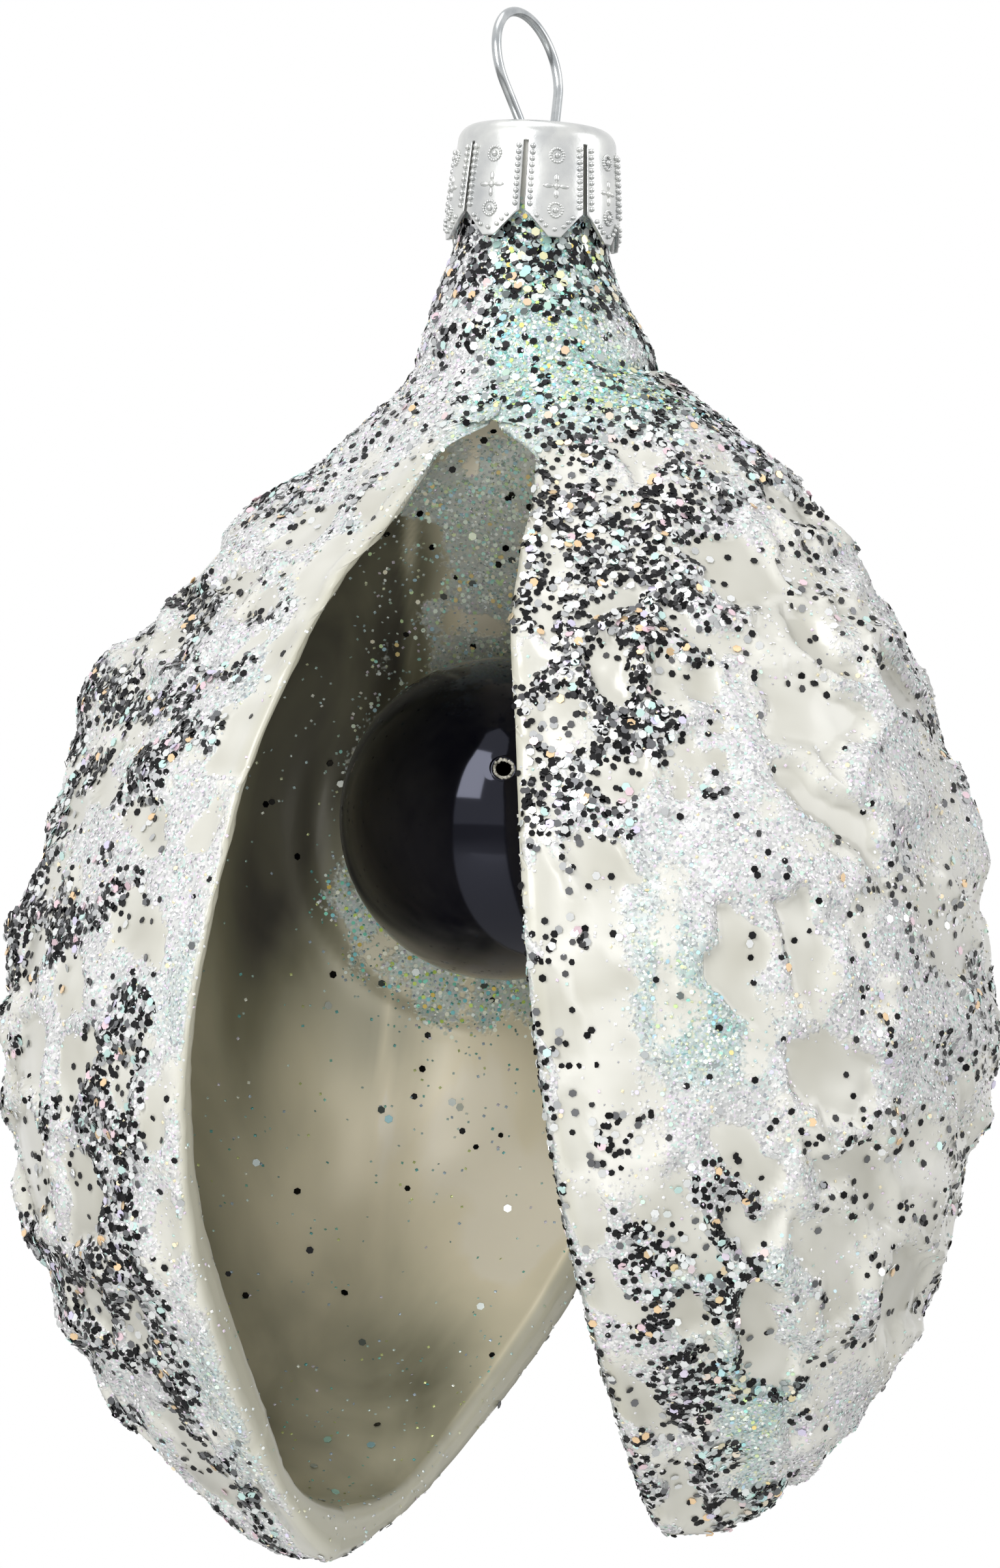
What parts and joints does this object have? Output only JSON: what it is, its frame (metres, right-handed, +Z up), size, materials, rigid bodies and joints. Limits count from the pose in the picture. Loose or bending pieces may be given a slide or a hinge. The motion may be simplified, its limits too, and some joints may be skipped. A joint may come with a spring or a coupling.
{
  "type": "oyster shell hanging ornament",
  "caption": "Open oyster shell ornament in frosted glass with a black pearl inside, hung from a crown cap with a rocking wire loop.",
  "frame": {"origin": "top of the inside of the wire loop, where a hook bears", "axes": "+Z up along the neck, -Y towards the front with the open shell, +X to the viewer's right"},
  "size_m": [0.069, 0.0571, 0.1099],
  "materials": {
    "wire": "drawn bright steel wire",
    "cap": "stamped silver sheet, satin",
    "frosted_glass": "pearl-white satin lacquer with glitter outside, smooth silvered grey inside",
    "black_glass": "glossy black",
    "glue": "clear glue with fine aqua glitter"
  },
  "bodies": {
    "hanger": {"hanger_wire": "wire"},
    "cap": {"crown_cap": "cap"},
    "ornament": {"neck": "frosted_glass", "left_valve": "frosted_glass", "right_valve": "frosted_glass", "pearl": "black_glass", "glitter_glue": "glue"}
  },
  "joints": [
    {"name": "loop_rock", "type": "hinge", "parent": "hanger", "child": "cap", "pos_m": [0.00172, -0.00108, -0.00815], "axis": [0.5299, 0.848, 0], "range_deg": [-30, 2]},
    {"name": "cap_turn", "type": "hinge", "parent": "cap", "child": "ornament", "pos_m": [0.00172, -0.00108, -0.012], "axis": [0, 0, 1], "continuous": true}
  ]
}
